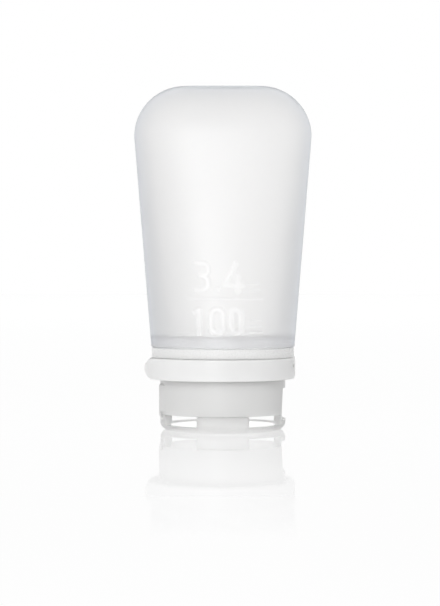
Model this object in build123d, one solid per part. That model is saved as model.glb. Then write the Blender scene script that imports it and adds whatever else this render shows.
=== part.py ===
from build123d import *
import math
import os

# Travel squeeze bottle standing on its flip lid. Millimetres, +Z up, origin on the bottle's axis at the
# lid's outer face. The marked front faces -Y, the loop's hinge is at +X and the lid's hinge at -X.

# Fits and gaps
fit_gap = 0.1  # between fixed pieces that slide together
running_gap = 0.05  # round each trunnion, on the radius
side_gap = 0.25  # beside each hinge knuckle
overrun = 1.0  # how far a cut runs past what it cuts

# Flip lid
lid_height = 5.15
lid_floor = 1.1
lid_wall = 2.0
lid_edge_radius = 2.6
lid_gap = 0.15  # between the closed lid and the cap
window_sill = 1.8  # height of the windows' lower edge
window_angle = 42.0
window_count = 4
plug_radius = 2.7
plug_wall = 0.9
plug_tip_chamfer = 0.2

# Screw cap
cap_radius = 20.9
cap_wall = 2.15
cap_height = 11.8
cap_edge_radius = 0.5
deck_thickness = 1.6
scoop_bottom = 3.5  # height of the lid's thumb lip
scoop_height = 10.5
scoop_depth = 1.6
scoop_radius = 120.0
scoop_tilt = 3.6

# Lid hinge
lid_knuckle_radius = 1.3
lid_knuckle_half_length = 3.6
lid_trunnion_radius = 0.75
lid_trunnion_length = 1.4
ear_thickness = 1.7
hinge_boss_proud = 0.3  # how far the hinge boss stands out of the round cap
hinge_boss_sink = 0.2  # how deep its slanted flanks run into the round cap
hinge_flank_lift = 1.0  # room below the flanks for the lid's edge as it swings up
hinge_boss_height = 10.3
hinge_boss_edge = 0.8
lid_axis_lift = 0.2  # hinge axis above the cap's base
lid_swing_room = 2.3  # room above the hinge axis for the lid's wall
lid_ear_gap = 0.7  # between the lid and the ears, on the radius

# Spout, valve and its retainer
spout_radius = 5.6
spout_length = 3.0
spout_edge_radius = 0.6
orifice_radius = 3.0
orifice_lip = 1.0
valve_radius = 4.5
valve_rim_height = 1.2
valve_membrane = 0.5
valve_slit = 0.16
valve_slit_share = 0.8  # slit's length as a share of the membrane's width
retainer_bore_radius = 2.9
retainer_edge_chamfer = 0.3

# Gasket and thread
gasket_thickness = 1.0
gasket_width = 2.7
seal_gap = 0.1
thread_clearance = 0.2
thread_depth = 0.8
thread_pitch = 3.2
thread_turns = 1.4
thread_root_width = 1.3
thread_crest_width = 0.7
thread_sink = 0.2  # how deep a ridge is sunk into its wall
thread_lead = 0.9  # plain neck below the thread

# Neck insert
neck_wall = 2.0
neck_flange_gap = 0.75  # between the flange and the body's wall
neck_flange_thickness = 1.4
neck_bead = 0.5  # snap bead under the collar

# Collar
collar_proud = 2.9  # how far the collar stands out of the cap
collar_height = 3.3
collar_edge_radius = 0.7
hub_wall = 0.9
cap_rim_gap = 0.3  # between the tightened cap and the collar's hub
rib_thickness = 2.6
rib_reach_gap = 1.3  # between a rib and the loop
loop_lug_half_length = 4.0
loop_lug_edge_radius = 0.9

# Hanging loop
loop_height = 7.0
loop_wall = 1.0
loop_proud = 0.4  # how far the loop stands out of the collar at its hinge
loop_gap = 0.2  # above the stowed loop
loop_overhang = 0.4  # how far the loop reaches below the hub
loop_edge_radius = 0.45
loop_swing_gap = 0.7  # between the swinging loop and the lid's corner
loop_knuckle_radius = 1.45
loop_knuckle_room = 0.7  # between the knuckles and the collar's cheeks above them
loop_axis_inset = 1.8  # hinge axis inside the loop's outer face
loop_axis_lift = 2.7  # hinge axis above the loop's lower edge
loop_trunnion_radius = 0.7
loop_trunnion_length = 1.6
loop_notch_half_length = 7.3
tab_proud = 0.05
tab_half_length = 4.5
tab_edge_radius = 0.4

# Silicone body
mouth_proud = 0.25  # how far the body stands out of the collar
body_height = 87.25
body_half_width = 29.7
body_corner_radius = 17.0
shoulder_half_depth = 14.5
ridge_half_depth = 1.2
body_wall = 2.3
web_thickness = 3.5
mouth_edge_radius = 0.6
mouth_foot_height = 1.0  # round foot on which the body's form starts
corner_steps = 6
round_handle_share = 0.5523  # Bezier handle of a circle
shoulder_handle_share = 0.68

# Heights, from the lid up
cap_base_z = lid_height + lid_gap
deck_top_z = cap_base_z + deck_thickness
gasket_top_z = deck_top_z + gasket_thickness
neck_end_z = gasket_top_z + seal_gap
cap_top_z = cap_base_z + cap_height
hub_base_z = cap_top_z + cap_rim_gap
loop_base_z = hub_base_z - loop_overhang
loop_top_z = loop_base_z + loop_height
collar_base_z = loop_top_z + loop_gap
body_base_z = collar_base_z + collar_height
foot_top_z = body_base_z + mouth_foot_height
web_top_z = body_base_z + web_thickness
neck_top_z = web_top_z + neck_flange_thickness
body_top_z = body_base_z + body_height
spout_tip_z = cap_base_z - spout_length
valve_seat_z = spout_tip_z + orifice_lip
valve_top_z = valve_seat_z + valve_rim_height

# Radii, from the cap outwards
collar_radius = cap_radius + collar_proud
mouth_radius = collar_radius + mouth_proud
neck_flange_radius = mouth_radius - body_wall - neck_flange_gap

# Radii, from the cap inwards
cap_bore_radius = cap_radius - cap_wall
thread_crest_radius = cap_bore_radius - thread_clearance
neck_radius = thread_crest_radius - thread_depth
neck_bore_radius = neck_radius - neck_wall
hub_radius = neck_radius + fit_gap + hub_wall
valve_bore_radius = valve_radius + fit_gap

# Lid hinge axis
lid_axis_x = -(cap_radius + hinge_boss_proud - lid_knuckle_radius)
lid_axis_z = cap_base_z + lid_axis_lift

# Loop hinge axis, and the loop's far side, which has to swing past the lid's lower corner
loop_outer_x = collar_radius + loop_proud
loop_axis_x = loop_outer_x - loop_axis_inset
loop_axis_z = loop_base_z + loop_axis_lift
lid_corner_x = cap_radius - lid_edge_radius
corner_distance = math.hypot(loop_axis_x + lid_corner_x, loop_axis_z - lid_edge_radius) + lid_edge_radius
loop_far_x = corner_distance + loop_swing_gap - loop_axis_x
loop_near_x = loop_outer_x - loop_wall
loop_inner_radius = (loop_near_x + loop_far_x) / 2
loop_outer_radius = loop_inner_radius + loop_wall
loop_centre_x = (loop_near_x - loop_far_x) / 2
tab_reach = loop_far_x + loop_wall + tab_proud
tab_radius = loop_height / 2
loop_middle_z = loop_base_z + tab_radius


def tube(outer, inner, low, high, x=0):
    """A round wall between two heights."""
    height = high - low
    ring = Pos(x, 0, low + height / 2) * Cylinder(outer, height)
    if inner > 0:
        ring -= Pos(x, 0, low + height / 2) * Cylinder(inner, height + overrun)
    return ring


def rod(radius, low_y, high_y, x, z):
    """A cylinder along Y."""
    length = high_y - low_y
    return Pos(x, low_y + length / 2, z) * Rot(90, 0, 0) * Cylinder(radius, length)


def slab(low, high):
    """A box between two corners."""
    size = [b - a for a, b in zip(low, high)]
    centre = [(a + b) / 2 for a, b in zip(low, high)]
    return Pos(*centre) * Box(*size)


def both_sides(shape):
    """A shape and its mirror image across the XZ plane."""
    return shape + mirror(shape, about=Plane.XZ)


def thread(wall_radius, crest_radius, start_z, turns):
    """One helical ridge that stands on a round wall, outside or inside it."""
    side = 1 if crest_radius > wall_radius else -1
    root = wall_radius - side * thread_sink
    outline = Polyline(
        (root, 0, -thread_root_width / 2),
        (wall_radius, 0, -thread_root_width / 2),
        (crest_radius, 0, -thread_crest_width / 2),
        (crest_radius, 0, thread_crest_width / 2),
        (wall_radius, 0, thread_root_width / 2),
        (root, 0, thread_root_width / 2),
        close=True,
    )
    path = Helix(thread_pitch, thread_pitch * turns, wall_radius)
    ridge = sweep(make_face(outline), path=path, is_frenet=True)
    return Pos(0, 0, start_z) * ridge


def body_section(height_z, half_width, half_depth, handle):
    """One level slice of the body: four Bezier quarters, from a circle to a soft rectangle."""
    quarters = []
    for sx, sy in ((1, 1), (-1, 1), (-1, -1), (1, -1)):
        start = (sx * half_width, 0)
        end = (0, sy * half_depth)
        near_start = (sx * half_width, sy * half_depth * handle)
        near_end = (sx * half_width * handle, sy * half_depth)
        points = (start, near_start, near_end, end)
        quarters.append(Bezier(*(points if sx * sy > 0 else points[::-1])))
    return Pos(0, 0, height_z) * make_face(Curve() + quarters)


def body_form(low_z, low_radius, inset):
    """The body's outer form, or with an inset the hollow inside it."""
    corner = body_corner_radius - inset
    corner_z = body_top_z - body_corner_radius
    width = body_half_width - inset
    depth = shoulder_half_depth - inset
    taper = (low_radius - depth) / (corner_z - low_z)
    lower = loft(
        [
            body_section(low_z, low_radius, low_radius, round_handle_share),
            body_section(corner_z, width, depth, shoulder_handle_share),
        ]
    )
    sections = []
    for step in range(corner_steps + 1):
        angle = math.pi / 2 * step / corner_steps
        across = math.cos(angle)
        rise = corner * math.sin(angle)
        sections.append(
            body_section(
                corner_z + rise,
                width - corner + corner * across,
                ridge_half_depth + (depth - taper * rise - ridge_half_depth) * across,
                shoulder_handle_share,
            )
        )
    return lower + loft(sections)


def make_squeeze_body():
    """Silicone shell, closed at the top, with a thick web at its mouth that the neck clamps."""
    mouth = body_section(body_base_z, mouth_radius, mouth_radius, round_handle_share)
    foot = extrude(mouth, mouth_foot_height)
    foot = fillet(foot.edges().group_by(Axis.Z)[0], mouth_edge_radius)
    shell = foot + body_form(foot_top_z, mouth_radius, 0)
    shell -= body_form(web_top_z, mouth_radius - body_wall, body_wall)
    shell -= tube(neck_radius + fit_gap, 0, body_base_z - overrun, web_top_z + overrun)
    return shell


def make_neck_insert():
    """Rigid wide neck: clamping flange inside the bottle, thread and sealing end below."""
    neck = tube(neck_radius, 0, neck_end_z, neck_top_z)
    neck += tube(neck_flange_radius, 0, web_top_z, neck_top_z)
    neck += tube(neck_radius + neck_bead, 0, hub_base_z - neck_bead, hub_base_z)
    start = neck_end_z + thread_lead + thread_root_width / 2
    neck += thread(neck_radius, thread_crest_radius, start, thread_turns)
    neck -= tube(neck_bore_radius, 0, neck_end_z - overrun, neck_top_z + overrun)
    return neck


def make_collar():
    """Bright ring under the body, its hub inside the loop, three ribs, and the loop's lug with its cheeks."""
    ring = tube(collar_radius, 0, collar_base_z, body_base_z)
    ring = fillet(ring.edges().group_by(Axis.Z)[-1], collar_edge_radius)
    collar = ring + tube(hub_radius, 0, hub_base_z, collar_base_z)
    rib_reach = loop_near_x - rib_reach_gap
    half = rib_thickness / 2
    for turn in (90, 180, 270):
        rib = slab((neck_radius, -half, hub_base_z), (rib_reach, half, collar_base_z))
        collar += Rot(0, 0, turn) * rib
    lug = tube(loop_outer_radius, 0, hub_base_z, collar_base_z, loop_centre_x)
    lug &= slab(
        (neck_radius, -loop_lug_half_length, hub_base_z),
        (loop_outer_x + overrun, loop_lug_half_length, collar_base_z),
    )
    lug = fillet(lug.edges().filter_by(GeomType.CIRCLE).group_by(Axis.Z)[0], loop_lug_edge_radius)
    # Above the knuckles the lug widens into cheeks, so the band's outer face runs on past the hinge
    cheek_base_z = loop_axis_z + loop_knuckle_radius + loop_knuckle_room
    cheek_half = loop_notch_half_length - side_gap
    cheeks = tube(loop_outer_radius, 0, cheek_base_z, collar_base_z, loop_centre_x)
    cheeks &= slab(
        (neck_radius, -cheek_half, cheek_base_z),
        (loop_outer_x + overrun, cheek_half, collar_base_z),
    )
    collar += lug + cheeks
    reach = loop_lug_half_length + loop_trunnion_length
    collar += rod(loop_trunnion_radius, -reach, reach, loop_axis_x, loop_axis_z)
    collar -= tube(neck_radius + fit_gap, 0, hub_base_z - overrun, body_base_z + overrun)
    return collar


def make_hang_loop():
    """Open ring round the collar: pull tab at one side, two hinge eyes at the other."""
    low_x = loop_centre_x + loop_inner_radius
    profile = Plane.XZ * Pos(low_x + loop_wall / 2, loop_middle_z) * RectangleRounded(
        loop_wall, loop_height, loop_edge_radius
    )
    loop = revolve(profile, Axis((loop_centre_x, 0, 0), (0, 0, 1)))
    # The far end is rounded, as seen from the front
    end_x = tab_radius - tab_reach
    blunt = slab(
        (-tab_reach - overrun, -loop_outer_radius, loop_base_z - overrun),
        (end_x, loop_outer_radius, loop_top_z + overrun),
    )
    blunt -= rod(tab_radius, -loop_outer_radius, loop_outer_radius, end_x, loop_middle_z)
    loop -= blunt
    tab = rod(tab_radius, -tab_half_length, tab_half_length, end_x, loop_middle_z)
    tab = fillet(tab.edges(), tab_edge_radius)
    tab -= tube(
        loop_inner_radius + loop_wall / 2, 0, loop_base_z - overrun, loop_top_z + overrun, loop_centre_x
    )
    loop += tab
    # Both ends stop short of the collar's lug, and are low where they would swing into the hub
    gap_y = loop_lug_half_length + side_gap
    loop -= slab(
        (loop_axis_x - loop_height, -gap_y, loop_base_z - overrun),
        (loop_outer_x + overrun, gap_y, loop_top_z + overrun),
    )
    loop -= slab(
        (loop_axis_x - loop_height, -loop_notch_half_length, loop_axis_z),
        (loop_outer_x + overrun, loop_notch_half_length, loop_top_z + overrun),
    )
    eye = rod(loop_knuckle_radius, gap_y, loop_notch_half_length + loop_wall, loop_axis_x, loop_axis_z)
    eye &= tube(loop_outer_radius, 0, loop_base_z, loop_top_z, loop_centre_x)
    loop += both_sides(eye)
    socket = loop_lug_half_length + loop_trunnion_length + side_gap
    loop -= rod(loop_trunnion_radius + running_gap, -socket, socket, loop_axis_x, loop_axis_z)
    return loop


def scoop_cut():
    """The shallow thumb recess that runs down the cap and ends on the lid's lip."""
    middle_z = scoop_bottom + scoop_height / 2
    centre_x = cap_radius - scoop_depth + scoop_radius
    lean = scoop_height / 2 * math.tan(math.radians(scoop_tilt))
    slant = scoop_radius * math.sin(math.radians(scoop_tilt))
    tall = scoop_height + 2 * (lid_height + slant)
    cutter = Pos(centre_x + lean, 0, middle_z) * Rot(0, scoop_tilt, 0) * Cylinder(scoop_radius, tall)
    window = slab(
        (0, -cap_radius, scoop_bottom),
        (cap_radius + overrun, cap_radius, scoop_bottom + scoop_height),
    )
    return cutter & window


def make_hinge_boss(half_width):
    """Block that carries the lid's hinge, with slanted flanks that run out into the round cap."""
    reach = cap_radius + hinge_boss_proud
    turn = math.atan2(half_width, reach) + math.acos(cap_radius / math.hypot(reach, half_width))
    flank_x = -(cap_radius - hinge_boss_sink) * math.cos(turn)
    flank_y = (cap_radius - hinge_boss_sink) * math.sin(turn)
    outline = Polyline(
        (0, -flank_y),
        (flank_x, -flank_y),
        (-reach, -half_width),
        (-reach, half_width),
        (flank_x, flank_y),
        (0, flank_y),
        close=True,
    )
    flank_base = cap_base_z + hinge_flank_lift
    boss = Pos(0, 0, flank_base) * extrude(make_face(outline), hinge_boss_height - hinge_flank_lift)
    boss = chamfer(boss.edges().group_by(Axis.Z)[-1], hinge_boss_edge)
    return boss + slab((-reach, -half_width, cap_base_z), (0, half_width, flank_base))


def make_screw_cap():
    """Threaded cap with its deck, spout, thumb recess and the ears of the lid's hinge."""
    wall = tube(cap_radius, 0, cap_base_z, cap_top_z)
    wall = fillet(wall.edges().group_by(Axis.Z)[-1], cap_edge_radius)
    boss_half = lid_knuckle_half_length + side_gap + ear_thickness
    cap = wall + make_hinge_boss(boss_half)
    ear_low = lid_knuckle_half_length + side_gap
    ear = rod(lid_knuckle_radius, ear_low, boss_half, lid_axis_x, lid_axis_z)
    cap += both_sides(ear)
    cap -= tube(cap_bore_radius, 0, deck_top_z, cap_top_z + overrun)
    start = neck_end_z + thread_lead + thread_root_width / 2 + thread_pitch / 2
    cap += thread(cap_bore_radius, cap_bore_radius - thread_depth, start, thread_turns)
    spout = tube(spout_radius, 0, spout_tip_z, cap_base_z)
    spout = fillet(spout.edges().group_by(Axis.Z)[0], spout_edge_radius)
    cap += spout
    cap -= tube(valve_bore_radius, 0, valve_seat_z, deck_top_z + overrun)
    cap -= tube(orifice_radius, 0, spout_tip_z - overrun, deck_top_z)
    # Room for the lid's knuckle, and above it for the lid's wall as it swings up
    knuckle_room = lid_knuckle_radius + side_gap
    cap -= rod(knuckle_room, -ear_low, ear_low, lid_axis_x, lid_axis_z)
    cap -= slab(
        (-cap_radius - hinge_boss_proud - overrun, -ear_low, cap_base_z - overrun),
        (lid_axis_x, ear_low, lid_axis_z + lid_swing_room),
    )
    socket = lid_knuckle_half_length + lid_trunnion_length + side_gap
    cap -= rod(lid_trunnion_radius + running_gap, -socket, socket, lid_axis_x, lid_axis_z)
    cap -= scoop_cut()
    return cap


def make_cap_gasket():
    """Flat sealing ring between the neck's end and the cap's deck."""
    outer = cap_bore_radius - fit_gap
    return tube(outer, outer - gasket_width, deck_top_z, gasket_top_z)


def make_flow_valve():
    """Soft disc with a cross slit and a thicker rim."""
    rim = tube(valve_radius, orifice_radius, valve_seat_z, valve_top_z)
    membrane_z = (valve_seat_z + valve_top_z) / 2
    valve = rim + Pos(0, 0, membrane_z) * Cylinder(orifice_radius + fit_gap, valve_membrane)
    slit_length = 2 * orifice_radius * valve_slit_share
    slit = Box(slit_length, valve_slit, valve_rim_height)
    valve -= Pos(0, 0, membrane_z) * slit
    valve -= Pos(0, 0, membrane_z) * Rot(0, 0, 90) * slit
    return valve


def make_valve_retainer():
    """Ring pressed into the spout over the valve's rim."""
    ring = tube(valve_radius, 0, valve_top_z, deck_top_z)
    ring = chamfer(ring.edges().group_by(Axis.Z)[-1], retainer_edge_chamfer)
    return ring - tube(retainer_bore_radius, 0, valve_top_z - overrun, deck_top_z + overrun)


def make_flip_lid():
    """Lid with four windows in its skirt, a plug for the spout and the hinge knuckle."""
    lid = tube(cap_radius, 0, 0, lid_height)
    lid = fillet(lid.edges().group_by(Axis.Z)[0], lid_edge_radius)
    inner_radius = cap_radius - lid_wall
    hollow = tube(inner_radius, 0, lid_floor, lid_height + overrun)
    hollow = fillet(hollow.edges().group_by(Axis.Z)[0], lid_edge_radius - lid_floor)
    lid -= hollow
    plug_top = valve_seat_z - seal_gap
    plug = tube(plug_radius, 0, 0, plug_top)
    plug = chamfer(plug.edges().group_by(Axis.Z)[-1], plug_tip_chamfer)
    lid += plug - tube(plug_radius - plug_wall, 0, lid_floor, plug_top + overrun)
    # Windows: notches between four posts
    reach = cap_radius + overrun
    spread = reach * math.tan(math.radians(window_angle / 2))
    opening = Polyline((0, 0), (reach, -spread), (reach, spread), close=True)
    wedge = extrude(make_face(opening), lid_height)
    wedge -= tube(inner_radius - lid_wall, 0, 0, lid_height)
    for index in range(window_count):
        turn = (index + 1 / 2) * 360 / window_count
        lid -= Pos(0, 0, window_sill) * Rot(0, 0, turn) * wedge
    # Hinge: clear of the cap's ears, with the knuckle and its trunnions between them
    ear_low = lid_knuckle_half_length
    ear_high = ear_low + 2 * side_gap + ear_thickness
    ear_room = rod(lid_knuckle_radius + lid_ear_gap, ear_low, ear_high, lid_axis_x, lid_axis_z)
    lid -= both_sides(ear_room)
    lid += rod(lid_knuckle_radius, -ear_low, ear_low, lid_axis_x, lid_axis_z)
    trunnion = ear_low + lid_trunnion_length
    lid += rod(lid_trunnion_radius, -trunnion, trunnion, lid_axis_x, lid_axis_z)
    lid -= scoop_cut()
    return lid


makers = {
    "squeeze_body": make_squeeze_body,
    "neck_insert": make_neck_insert,
    "collar": make_collar,
    "hang_loop": make_hang_loop,
    "screw_cap": make_screw_cap,
    "cap_gasket": make_cap_gasket,
    "flow_valve": make_flow_valve,
    "valve_retainer": make_valve_retainer,
    "flip_lid": make_flip_lid,
}

os.makedirs("parts", exist_ok=True)
for name, make in makers.items():
    part = make()
    export_step(part, f"parts/{name}.step")
    print(name, "solids", len(part.solids()), "volume", round(part.volume))

cavity = body_form(web_top_z, mouth_radius - body_wall, body_wall).volume
neck_space = math.pi * neck_bore_radius**2 * (web_top_z - deck_top_z)
print("inside volume in millilitres", round((cavity + neck_space) / 1000, 1))
print("loop axis", round(loop_axis_x, 2), round(loop_axis_z, 2))
print("lid axis", round(lid_axis_x, 2), round(lid_axis_z, 2))
print("loop far side", round(loop_far_x, 2), "tab reach", round(tab_reach, 2), "top", round(body_top_z, 2))
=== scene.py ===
import bpy
import bmesh
import math
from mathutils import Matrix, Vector


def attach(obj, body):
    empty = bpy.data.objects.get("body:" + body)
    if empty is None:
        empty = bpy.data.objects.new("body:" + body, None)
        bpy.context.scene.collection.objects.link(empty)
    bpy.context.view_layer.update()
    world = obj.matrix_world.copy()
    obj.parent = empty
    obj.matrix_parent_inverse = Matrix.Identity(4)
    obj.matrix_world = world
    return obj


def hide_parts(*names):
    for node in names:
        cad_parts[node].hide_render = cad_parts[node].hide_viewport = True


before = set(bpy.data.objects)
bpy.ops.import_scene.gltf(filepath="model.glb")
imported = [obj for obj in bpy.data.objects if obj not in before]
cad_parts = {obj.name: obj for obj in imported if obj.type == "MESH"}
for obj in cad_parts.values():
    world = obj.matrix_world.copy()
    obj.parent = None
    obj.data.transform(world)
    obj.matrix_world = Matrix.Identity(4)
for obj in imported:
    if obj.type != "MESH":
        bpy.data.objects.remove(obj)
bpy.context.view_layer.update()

mm = 0.001


# Shader helpers

def newMaterial(name):
    mat = bpy.data.materials.new(name)
    mat.use_nodes = True
    return mat, mat.node_tree, mat.node_tree.nodes["Principled BSDF"]


def addNode(tree, kind, x, y, inputs=None, **settings):
    # inputs sets sockets by name or number, settings the node's own options
    node = tree.nodes.new(kind)
    node.location = (x, y)
    for key, value in settings.items():
        setattr(node, key, value)
    for socket, value in (inputs or {}).items():
        node.inputs[socket].default_value = value
    return node


def join(tree, source, output, target, socket):
    tree.links.new(source.outputs[output], target.inputs[socket])


moulded = {
    "cloudScale": 60, "cloudDetail": 3, "grainDetail": 4, "glossSpread": 0.12, "bumpDistance": 0.2,
}


def makeMouldedGroup():
    # Fine moulded texture: slow clouds, a fine grain and a slight drift of tone and gloss
    group = bpy.data.node_groups.new("mouldedSurface", "ShaderNodeTree")
    face = group.interface
    for label, kind in (("Tone", "Color"), ("Drift", "Float"), ("Gloss", "Float"), ("Grain Size", "Float")):
        face.new_socket(label, in_out="INPUT", socket_type="NodeSocket" + kind)
    for label, kind in (("Color", "Color"), ("Roughness", "Float"), ("Height", "Float")):
        face.new_socket(label, in_out="OUTPUT", socket_type="NodeSocket" + kind)
    start = addNode(group, "NodeGroupInput", -900, 0)
    end = addNode(group, "NodeGroupOutput", 500, 0)
    coords = addNode(group, "ShaderNodeTexCoord", -900, -300)
    cloud = addNode(group, "ShaderNodeTexNoise", -600, 200,
                    {"Scale": moulded["cloudScale"], "Detail": moulded["cloudDetail"]})
    grain = addNode(group, "ShaderNodeTexNoise", -600, -200, {"Detail": moulded["grainDetail"]})
    low = addNode(group, "ShaderNodeMath", -600, 420, {0: 1}, operation="SUBTRACT")
    shade = addNode(group, "ShaderNodeMapRange", -350, 200, {"To Min": 1})
    tint = addNode(group, "ShaderNodeVectorMath", -100, 200, operation="SCALE")
    rough = addNode(group, "ShaderNodeMath", -350, -50, {1: moulded["glossSpread"]}, operation="MULTIPLY_ADD")
    join(group, coords, "Object", cloud, "Vector")
    join(group, coords, "Object", grain, "Vector")
    join(group, start, "Grain Size", grain, "Scale")
    join(group, start, "Drift", low, 1)
    join(group, cloud, "Fac", shade, "Value")
    join(group, low, 0, shade, "To Max")
    join(group, start, "Tone", tint, 0)
    join(group, shade, "Result", tint, "Scale")
    join(group, tint, "Vector", end, "Color")
    join(group, grain, "Fac", rough, 0)
    join(group, start, "Gloss", rough, 2)
    join(group, rough, 0, end, "Roughness")
    join(group, grain, "Fac", end, "Height")
    return group


mouldedGroup = makeMouldedGroup()


# Every glow entry below is painted light: an emission that brightens the piece though it is no lamp
finishes = {
    "silicone": {
        "tone": (0.998, 0.995, 0.99), "drift": 0.004, "gloss": 0.36, "grainSize": 2600, "bump": 0.1,
        "clear": 1.0, "ior": 1.41, "absorb": (0.785, 0.795, 0.83), "density": 47,
        "numeralPaintedLight": 0.065, "rimGlow": 0.066, "rimTone": (0.72, 0.85, 1.0),
    },
    "frosted": {
        "tone": (0.73, 0.73, 0.725), "drift": 0.02, "gloss": 0.3, "grainSize": 2200, "bump": 0.08,
        "milky": 0.8, "bleed": 0.004, "ior": 1.49, "glow": 0.02,
    },
    "lidPlastic": {
        "tone": (0.83, 0.83, 0.825), "drift": 0.01, "gloss": 0.3, "grainSize": 2200, "bump": 0.05,
        "clear": 0.55, "milky": 0.8, "bleed": 0.004, "ior": 1.49, "absorb": (0.82, 0.82, 0.81), "density": 40,
        "glow": 0.045, "lidFloorPaintedLight": 0.5, "floorHeight": 1.1, "floorReach": 0.3,
        "floorRadius": 18.0, "floorFade": 1.2,
    },
    "neckPlastic": {
        "tone": (0.97, 0.97, 0.97), "drift": 0.01, "gloss": 0.25, "grainSize": 2200, "bump": 0.05,
        "milky": 0.8, "bleed": 0.008, "ior": 1.49, "glow": 0.125,
    },
    "collarPlastic": {
        "tone": (0.82, 0.82, 0.815), "drift": 0.01, "gloss": 0.22, "grainSize": 2400, "bump": 0.05,
        "milky": 0.9, "bleed": 0.003, "ior": 1.49, "glow": 0.05,
    },
    "loopPlastic": {
        "tone": (0.86, 0.86, 0.855), "drift": 0.01, "gloss": 0.26, "grainSize": 2400, "bump": 0.06,
        "milky": 0.9, "bleed": 0.003, "ior": 1.49, "glow": 0.05,
    },
    "valveSilicone": {
        "tone": (0.93, 0.93, 0.93), "drift": 0.02, "gloss": 0.4, "grainSize": 2600, "bump": 0.1,
    },
}


def dressMoulded(tree, shader, f):
    surface = addNode(tree, "ShaderNodeGroup", -500, 100,
                      {"Tone": (*f["tone"], 1), "Drift": f["drift"], "Gloss": f["gloss"],
                       "Grain Size": f["grainSize"]}, node_tree=mouldedGroup)
    relief = addNode(tree, "ShaderNodeBump", -250, -200,
                     {"Strength": f["bump"], "Distance": moulded["bumpDistance"] * mm})
    join(tree, surface, "Color", shader, "Base Color")
    join(tree, surface, "Roughness", shader, "Roughness")
    join(tree, surface, "Height", relief, "Height")
    join(tree, relief, "Normal", shader, "Normal")


def paintLidFloorLight(tree, shader, f):
    # Painted light: the inside of the lid's thin floor glows white, standing in for the table's light that
    # the thin floor lets through; the rest of the lid keeps the faint even glow
    coords = addNode(tree, "ShaderNodeTexCoord", -1500, 500)
    flat = addNode(tree, "ShaderNodeVectorMath", -1300, 600, {1: (1, 1, 0)}, operation="MULTIPLY")
    radius = addNode(tree, "ShaderNodeVectorMath", -1100, 600, operation="LENGTH")
    inside = addNode(tree, "ShaderNodeMapRange", -900, 600,
                     {"From Min": (f["floorRadius"] + f["floorFade"]) * mm,
                      "From Max": f["floorRadius"] * mm})
    parts = addNode(tree, "ShaderNodeSeparateXYZ", -1300, 400)
    level = addNode(tree, "ShaderNodeMath", -1100, 400,
                    {1: f["floorHeight"] * mm, 2: f["floorReach"] * mm}, operation="COMPARE")
    both = addNode(tree, "ShaderNodeMath", -700, 500, operation="MULTIPLY")
    share = addNode(tree, "ShaderNodeMapRange", -500, 500, {"To Min": f["glow"] / f["lidFloorPaintedLight"]})
    join(tree, coords, "Object", flat, 0)
    join(tree, flat, "Vector", radius, 0)
    join(tree, radius, "Value", inside, "Value")
    join(tree, coords, "Object", parts, "Vector")
    join(tree, parts, "Z", level, 0)
    join(tree, inside, "Result", both, 0)
    join(tree, level, 0, both, 1)
    join(tree, both, 0, share, "Value")
    join(tree, share, "Result", shader, "Emission Color")
    shader.inputs["Emission Strength"].default_value = f["lidFloorPaintedLight"]


def paintNumeralAndRimLight(tree, shader, f):
    # Painted light: the numerals glow, standing in for the extra light the polished numerals pass compared
    # with the matt wall round them
    numeralMark = addNode(tree, "ShaderNodeAttribute", -1100, 300, attribute_name="numerals")
    numeralLight = addNode(tree, "ShaderNodeVectorMath", -900, 300,
                           {"Scale": f["numeralPaintedLight"] / f["rimGlow"]}, operation="SCALE")
    # Painted light: a pale blue glow along the outline stands in for the silicone being solid there, where it
    # looks paler and bluer
    rimMark = addNode(tree, "ShaderNodeAttribute", -900, 500, attribute_name="rim")
    light = addNode(tree, "ShaderNodeVectorMath", -700, 400, {1: f["rimTone"]}, operation="MULTIPLY_ADD")
    join(tree, numeralMark, "Color", numeralLight, 0)
    join(tree, rimMark, "Color", light, 0)
    join(tree, numeralLight, "Vector", light, 2)
    join(tree, light, "Vector", shader, "Emission Color")
    shader.inputs["Emission Strength"].default_value = f["rimGlow"]


def makeFinish(name):
    f = finishes[name]
    mat, tree, shader = newMaterial(name)
    dressMoulded(tree, shader, f)
    if "ior" in f:
        shader.inputs["IOR"].default_value = f["ior"]
    if "milky" in f:
        shader.inputs["Subsurface Weight"].default_value = f["milky"]
        shader.inputs["Subsurface Radius"].default_value = (1, 1, 1)
        shader.inputs["Subsurface Scale"].default_value = f["bleed"]
    if "clear" in f:
        shader.inputs["Transmission Weight"].default_value = f["clear"]
        soak = addNode(tree, "ShaderNodeVolumeAbsorption", 0, -300,
                       {"Color": (*f["absorb"], 1), "Density": f["density"]})
        join(tree, soak, "Volume", tree.nodes["Material Output"], "Volume")
    if "lidFloorPaintedLight" in f:
        paintLidFloorLight(tree, shader, f)
    elif "numeralPaintedLight" in f:
        paintNumeralAndRimLight(tree, shader, f)
    elif "glow" in f:
        # Painted light: a faint even white glow stands in for light that the milky plastic carries round
        # corners, into gaps and recesses
        shader.inputs["Emission Color"].default_value = (1, 1, 1, 1)
        shader.inputs["Emission Strength"].default_value = f["glow"]
    return mat


materials = {name: makeFinish(name) for name in finishes}
print("materials ready", len(materials))


# Silicone body: a closed shell with the raised capacity numerals on its front, in millimetres

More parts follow.
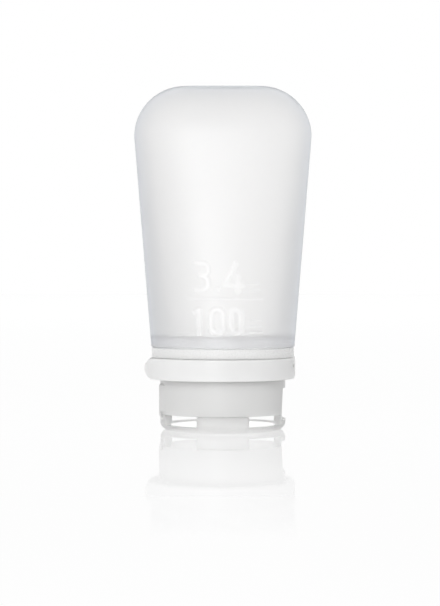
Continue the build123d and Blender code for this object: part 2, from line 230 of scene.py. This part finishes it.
body = {
    "foot": 27.48, "footTop": 28.5, "footEdge": 0.6, "mouthRadius": 24.05,
    "top": 114.75, "halfWidth": 29.7, "corner": 17.0, "shoulderDepth": 14.5, "ridge": 1.2,
    "wall": 2.3, "innerFloor": 30.95, "innerFillet": 0.7, "mouthHole": 17.6,
    "roundHandle": 0.5523, "softHandle": 0.68,  # softness of the section at the foot and the shoulder
    "reliefHeight": 0.3, "reliefEdge": 0.35, "strokeWidth": 1.5, "lineWidth": 0.55, "tickWidth": 0.3,
    "reliefFoot": 31.4, "reliefTop": 56.4, "reliefSide": 0.56,  # where the mesh is fine for the numerals
    "rimWidth": 0.8, "rimFade": 2.2,
    "closingShares": (0.66, 0.33, 0), "innerClosingShares": (0.5, 0), "weld": 0.002,
}

meshSteps = {
    "numeralCorner": 6, "frontSide": 12, "frontMiddle": 70, "back": 22,
    "foot": 6, "lip": 4, "relief": 104, "wall": 18, "corner": 30,
    "innerFillet": 6, "innerWall": 20, "innerCorner": 24,
}


def roundedBar(x0, x1, z0, z1, corner):
    steps = meshSteps["numeralCorner"]
    points = []
    for cx, cz, turn in ((x1 - corner, z1 - corner, 0), (x0 + corner, z1 - corner, 90),
                         (x0 + corner, z0 + corner, 180), (x1 - corner, z0 + corner, 270)):
        for step in range(steps + 1):
            a = math.radians(turn + 90 * step / steps)
            points.append((cx + corner * math.cos(a), cz + corner * math.sin(a)))
    return points + points[:1]


numerals = {
    "strokeWidth": [
        # three, in two bows
        [(-8.9, 55.2), (-6.4, 55.2), (-5.4, 54.7), (-4.9, 53.9), (-4.9, 52.5), (-5.6, 51.5), (-7.2, 51.1)],
        [(-7.2, 51.1), (-5.6, 50.7), (-4.9, 49.7), (-4.9, 48.1), (-5.4, 47.3), (-6.4, 46.7), (-8.9, 46.7)],
        # point
        [(-1.8, 46.8), (-1.6, 46.8)],
        # four
        [(4.2, 55.0), (0.2, 48.0), (6.3, 48.0)],
        [(4.9, 51.2), (4.9, 46.1)],
        # one hundred
        [(-9.0, 39.6), (-7.7, 40.3), (-7.7, 32.7)],
        roundedBar(-3.8, 0.0, 32.9, 40.3, 1.75),
        roundedBar(2.6, 6.0, 32.9, 40.3, 1.65),
    ],
    "lineWidth": [
        # rule between the two scales
        [(-11.2, 43.7), (12.9, 43.7)],
    ],
    "tickWidth": [
        [(8.1, 48.5), (11.8, 48.5)],
        [(8.1, 46.6), (11.8, 46.6)],
        [(8.9, 36.7), (12.6, 36.7)],
        [(8.9, 34.8), (12.6, 34.8)],
        [(8.9, 32.9), (12.6, 32.9)],
    ],
}


def strokeAndBox(path, width):
    # A stroke with the box outside which it has no effect
    reach = width / 2 + body["reliefEdge"]
    xs = [p[0] for p in path]
    zs = [p[1] for p in path]
    return path, width, (min(xs) - reach, max(xs) + reach, min(zs) - reach, max(zs) + reach)


strokes = [strokeAndBox(path, body[width]) for width, paths in numerals.items() for path in paths]


def distanceToPath(px, pz, path):
    best = math.inf
    for (ax, az), (bx, bz) in zip(path, path[1:]):
        dx, dz = bx - ax, bz - az
        length2 = dx * dx + dz * dz
        t = 0 if length2 == 0 else max(0, min(1, ((px - ax) * dx + (pz - az) * dz) / length2))
        best = min(best, math.hypot(px - ax - t * dx, pz - az - t * dz))
    return best


def smoothShare(t):
    t = max(0, min(1, t))
    return t * t * (3 - 2 * t)


def reliefAt(x, z):
    # 1 on a stroke, 0 beside it
    height = 0
    for path, width, (x0, x1, z0, z1) in strokes:
        if x0 < x < x1 and z0 < z < z1:
            d = distanceToPath(x, z, path) - width / 2
            height = max(height, smoothShare(0.5 - d / (2 * body["reliefEdge"])))
    return height


def rimAt(x, z, halfWidth):
    # Mask of the painted rim light: 1 along the outline, fading to 0 where the wall is hollow behind
    cornerZ = body["top"] - body["corner"]
    beside = abs(x) - (body["halfWidth"] - body["corner"])
    if z <= cornerZ:
        inward = halfWidth - abs(x)
    elif beside > 0:
        inward = body["corner"] - math.hypot(beside, z - cornerZ)
    else:
        inward = body["top"] - z
    return smoothShare(1 - (inward - body["rimWidth"]) / body["rimFade"])


def quarterPoint(t, handle):
    # One quarter of the soft rectangle: (1, 0) at t = 0, (0, 1) at t = 1
    s = 1 - t
    x = s ** 3 + 3 * s * s * t + 3 * s * t * t * handle
    y = 3 * s * s * t * handle + 3 * s * t * t + t ** 3
    return x, y


def sectionAt(z, lowZ, lowRadius, inset):
    # Half width, half depth and corner softness of the form at a height
    corner = body["corner"] - inset
    cornerZ = body["top"] - body["corner"]
    width = body["halfWidth"] - inset
    depth = body["shoulderDepth"] - inset
    taper = (lowRadius - depth) / (cornerZ - lowZ)
    if z <= cornerZ:
        t = max(0, (z - lowZ) / (cornerZ - lowZ))
        return (lowRadius + t * (width - lowRadius), lowRadius + t * (depth - lowRadius),
                body["roundHandle"] + t * (body["softHandle"] - body["roundHandle"]))
    rise = min(z - cornerZ, corner)
    across = math.sqrt(max(0, 1 - (rise / corner) ** 2))
    halfDepth = body["ridge"] + (depth - taper * rise - body["ridge"]) * across
    return width - corner + corner * across, halfDepth, body["softHandle"]


def spread(low, high, count):
    return [low + (high - low) * i / count for i in range(count)]


def cornerHeights(corner, steps):
    cornerZ = body["top"] - body["corner"]
    return [cornerZ + corner * math.sin(math.radians(90 * s / steps)) for s in range(steps + 1)]


def bodyColumns():
    # Parameter round the section, closely spaced across the numerals
    front = spread(0, body["reliefSide"], meshSteps["frontSide"])
    front += spread(body["reliefSide"], 1, meshSteps["frontMiddle"])
    back = spread(0, 1, meshSteps["back"])
    columns = [(1, 1, t) for t in back]
    columns += [(-1, 1, 1 - t) for t in back]
    columns += [(-1, -1, t) for t in front]
    columns += [(1, -1, t) for t in [1] + front[:0:-1]]
    return columns


def bodyRing(bm, columns, z, halfWidth, halfDepth, handle, outside):
    numeralMarks = bm.verts.layers.float["numerals"]
    rimMarks = bm.verts.layers.float["rim"]
    ring = []
    for sideX, sideY, t in columns:
        qx, qy = quarterPoint(t, handle)
        x, y = sideX * halfWidth * qx, sideY * halfDepth * qy
        height = reliefAt(x, z) if outside and sideY < 0 else 0
        vert = bm.verts.new((x * mm, (y - height * body["reliefHeight"]) * mm, z * mm))
        # This mark also carries the painted light on the numerals
        vert[numeralMarks] = height
        # Mask for the painted rim light along the outline
        vert[rimMarks] = rimAt(x, z, halfWidth) if outside else 0
        ring.append(vert)
    return ring


def outerRings(ring):
    foot, edge, mouth = body["foot"], body["footEdge"], body["mouthRadius"]
    rings = []
    for step in range(meshSteps["foot"] + 1):
        a = math.radians(90 * step / meshSteps["foot"])
        r = mouth - edge + edge * math.sin(a)
        rings.append(ring(foot + edge - edge * math.cos(a), r, r, body["roundHandle"]))
    heights = spread(body["footTop"], body["reliefFoot"], meshSteps["lip"])
    heights += spread(body["reliefFoot"], body["reliefTop"], meshSteps["relief"])
    heights += spread(body["reliefTop"], body["top"] - body["corner"], meshSteps["wall"])
    heights += cornerHeights(body["corner"], meshSteps["corner"])
    for z in heights:
        rings.append(ring(z, *sectionAt(z, body["footTop"], mouth, 0), outside=True))
    halfEnd = body["halfWidth"] - body["corner"]
    for share in body["closingShares"]:
        rings.append(ring(body["top"], halfEnd, body["ridge"] * share, body["softHandle"], outside=True))
    return rings


def innerRings(ring):
    wall, innerFloor, fillet = body["wall"], body["innerFloor"], body["innerFillet"]
    lowInner = body["mouthRadius"] - wall
    filletTop = innerFloor + fillet
    rings = []
    halfWidth, halfDepth, handle = sectionAt(filletTop, innerFloor, lowInner, wall)
    for step in range(meshSteps["innerFillet"]):
        a = math.radians(90 * step / meshSteps["innerFillet"])
        drop = fillet * (1 - math.sin(a))
        z = innerFloor + fillet * (1 - math.cos(a))
        rings.append(ring(z, halfWidth - drop, halfDepth - drop, handle))
    heights = spread(filletTop, body["top"] - body["corner"], meshSteps["innerWall"])
    heights += cornerHeights(body["corner"] - wall, meshSteps["innerCorner"])
    for z in heights:
        rings.append(ring(z, *sectionAt(z, innerFloor, lowInner, wall)))
    halfEnd = body["halfWidth"] - body["corner"]
    for share in body["innerClosingShares"]:
        rings.append(ring(heights[-1], halfEnd, body["ridge"] * share, body["softHandle"]))
    return rings


def bridge(bm, lower, upper, flip):
    count = len(lower)
    for i in range(count):
        j = (i + 1) % count
        face = [lower[i], lower[j], upper[j], upper[i]]
        bm.faces.new(face[::-1] if flip else face)


def bridgeAll(bm, rings, flip):
    for lower, upper in zip(rings, rings[1:]):
        bridge(bm, lower, upper, flip)


def makeBody():
    bm = bmesh.new()
    bm.verts.layers.float.new("numerals")
    bm.verts.layers.float.new("rim")
    columns = bodyColumns()

    def ring(z, halfWidth, halfDepth, handle, outside=False):
        return bodyRing(bm, columns, z, halfWidth, halfDepth, handle, outside)

    outer = outerRings(ring)
    bridgeAll(bm, outer, False)
    inner = innerRings(ring)
    bridgeAll(bm, inner, True)
    hole = body["mouthHole"]
    holeLow = ring(body["foot"], hole, hole, body["roundHandle"])
    holeHigh = ring(body["innerFloor"], hole, hole, body["roundHandle"])
    bridge(bm, holeLow, outer[0], False)
    bridge(bm, holeHigh, holeLow, False)
    bridge(bm, inner[0], holeHigh, False)
    bmesh.ops.remove_doubles(bm, verts=bm.verts, dist=body["weld"] * mm)
    bmesh.ops.recalc_face_normals(bm, faces=bm.faces)
    mesh = bpy.data.meshes.new("siliconeBody")
    bm.to_mesh(mesh)
    bm.free()
    for polygon in mesh.polygons:
        polygon.use_smooth = True
    obj = bpy.data.objects.new("siliconeBody", mesh)
    bpy.context.collection.objects.link(obj)
    obj.data.materials.append(materials["silicone"])
    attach(obj, "bottle")
    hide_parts("squeeze_body")


makeBody()
print("silicone body made")


# The moulded plastic pieces keep their CAD shape

nodeFinish = {
    "neck_insert": "neckPlastic", "collar": "collarPlastic", "hang_loop": "loopPlastic",
    "screw_cap": "frosted", "flip_lid": "lidPlastic", "cap_gasket": "valveSilicone",
    "flow_valve": "valveSilicone", "valve_retainer": "neckPlastic",
}

for nodeName, finish in nodeFinish.items():
    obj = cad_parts[nodeName]
    obj.data.materials.clear()
    obj.data.materials.append(materials[finish])
print("CAD pieces dressed")


# Studio: camera, white world, white floor with a faint mirror, and one lamp

lens = {
    "focal": 1800.0, "frameHeight": 606, "rowShift": 23, "columnShift": -2.9,  # in picture points
    "sensor": 36, "distance": 0.603, "height": 0.0498, "nearClip": 0.01,
}
worldDim = 0.5  # what the white world gives as light, against the 1 at which it is seen
whiteFloor = {
    "halfSide": 6, "paint": 0.97, "nearWhite": 0.94, "whiteFrom": 0.2, "whiteTo": 2,
    "mirror": 0.5, "mirrorFrom": -0.26, "mirrorTo": -0.02, "mirrorRoughness": 0.04,
}
keyLamp = {"place": (-0.18, -0.89, 0.32), "aim": (0, 0, 0.05), "size": 0.45, "power": 3.6}


def makeCamera():
    data = bpy.data.cameras.new("camera")
    data.sensor_width = lens["sensor"]
    data.lens = lens["focal"] / lens["frameHeight"] * lens["sensor"]
    data.shift_y = -lens["rowShift"] / lens["frameHeight"]
    data.shift_x = lens["columnShift"] / lens["frameHeight"]
    data.clip_start = lens["nearClip"]
    camera = bpy.data.objects.new("camera", data)
    camera.location = (0, -lens["distance"], lens["height"])
    camera.rotation_euler = (math.pi / 2, 0, 0)
    bpy.context.collection.objects.link(camera)
    bpy.context.scene.camera = camera


def addSeenMask(tree, x, y):
    # 1 for what the camera sees directly, by mirror or through glass, 0 for light
    path = addNode(tree, "ShaderNodeLightPath", x, y)
    seen = addNode(tree, "ShaderNodeMath", x + 200, y, operation="MAXIMUM")
    seenAll = addNode(tree, "ShaderNodeMath", x + 400, y, operation="MAXIMUM")
    join(tree, path, "Is Camera Ray", seen, 0)
    join(tree, path, "Is Glossy Ray", seen, 1)
    join(tree, seen, 0, seenAll, 0)
    join(tree, path, "Is Transmission Ray", seenAll, 1)
    return seenAll


def makeWorld():
    world = bpy.data.worlds.new("studio")
    world.use_nodes = True
    bpy.context.scene.world = world
    tree = world.node_tree
    background = tree.nodes["Background"]
    background.inputs["Color"].default_value = (1, 1, 1, 1)
    seen = addSeenMask(tree, -700, 200)
    level = addNode(tree, "ShaderNodeMapRange", -50, 200, {"To Min": worldDim, "To Max": 1})
    join(tree, seen, 0, level, "Value")
    join(tree, level, "Result", background, "Strength")


def makeFloor():
    f = whiteFloor
    bm = bmesh.new()
    bmesh.ops.create_grid(bm, x_segments=2, y_segments=2, size=f["halfSide"])
    mesh = bpy.data.meshes.new("floor")
    bm.to_mesh(mesh)
    bm.free()
    floor = bpy.data.objects.new("floor", mesh)
    bpy.context.collection.objects.link(floor)
    mat, tree, shader = newMaterial("whiteFloor")
    tree.nodes.remove(shader)
    paint = addNode(tree, "ShaderNodeBsdfDiffuse", -500, 0,
                    {"Color": (f["paint"], f["paint"], f["paint"], 1)})
    glow = addNode(tree, "ShaderNodeEmission", -500, 200)
    shine = addNode(tree, "ShaderNodeBsdfGlossy", -500, -200,
                    {"Color": (1, 1, 1, 1), "Roughness": f["mirrorRoughness"]})
    coords = addNode(tree, "ShaderNodeTexCoord", -1100, -300)
    parts = addNode(tree, "ShaderNodeSeparateXYZ", -900, -300)
    join(tree, coords, "Object", parts, "Vector")
    # White where it is seen, a little less so near the object, to keep its shadow
    seen = addSeenMask(tree, -900, 400)
    far = addNode(tree, "ShaderNodeMapRange", -700, 0,
                  {"From Min": f["whiteFrom"], "From Max": f["whiteTo"], "To Min": f["nearWhite"]})
    share = addNode(tree, "ShaderNodeMath", -300, 400, operation="MULTIPLY")
    lit = addNode(tree, "ShaderNodeMixShader", -200, 100)
    join(tree, parts, "Y", far, "Value")
    join(tree, seen, 0, share, 0)
    join(tree, far, "Result", share, 1)
    join(tree, share, 0, lit, "Fac")
    join(tree, paint, "BSDF", lit, 1)
    join(tree, glow, "Emission", lit, 2)
    # The mirror fades out towards the camera
    fade = addNode(tree, "ShaderNodeMapRange", -700, -300,
                   {"From Min": f["mirrorFrom"], "From Max": f["mirrorTo"], "To Max": f["mirror"]})
    mix = addNode(tree, "ShaderNodeMixShader", 0, 0)
    join(tree, parts, "Y", fade, "Value")
    join(tree, fade, "Result", mix, "Fac")
    join(tree, lit, "Shader", mix, 1)
    join(tree, shine, "BSDF", mix, 2)
    join(tree, mix, "Shader", tree.nodes["Material Output"], "Surface")
    floor.data.materials.append(mat)


def makeKeyLamp():
    data = bpy.data.lights.new("key", "AREA")
    data.shape = "DISK"
    data.size = keyLamp["size"]
    data.energy = keyLamp["power"]
    obj = bpy.data.objects.new("key", data)
    obj.location = keyLamp["place"]
    obj.rotation_euler = (Vector(keyLamp["aim"]) - obj.location).to_track_quat("-Z", "Y").to_euler()
    bpy.context.collection.objects.link(obj)


makeCamera()
makeWorld()
makeFloor()
makeKeyLamp()
bpy.context.scene.view_settings.view_transform = "Standard"
print("studio ready")
